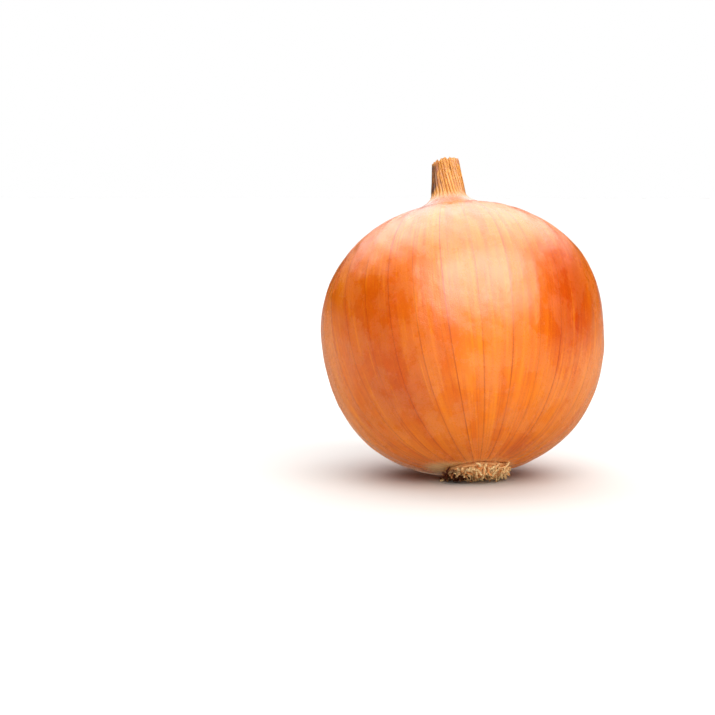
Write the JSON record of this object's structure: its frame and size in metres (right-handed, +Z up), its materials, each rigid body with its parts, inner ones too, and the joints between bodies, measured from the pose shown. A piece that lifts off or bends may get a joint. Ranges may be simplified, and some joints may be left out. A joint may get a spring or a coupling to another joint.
{
  "type": "onion",
  "caption": "Whole brown-skinned onion: round bulb in dry papery skin, short dried neck, cropped root plate, leaning back at rest on a small flat spot.",
  "frame": {"origin": "middle of the small flat spot that the onion rests on, at table height", "axes": "+Z up, away from the table, along the onion's longest extent at rest; the front, -Y, shows the cropped roots low down, the neck leans back to +Y and a little to -X; +X to the right seen from the front"},
  "size_m": [0.0761, 0.0769, 0.0849],
  "materials": {
    "dry_skin": "dry papery onion skin, satin, orange-brown with darker veins"
  },
  "bodies": {
    "root": {"onion": "dry_skin"}
  },
  "joints": []
}
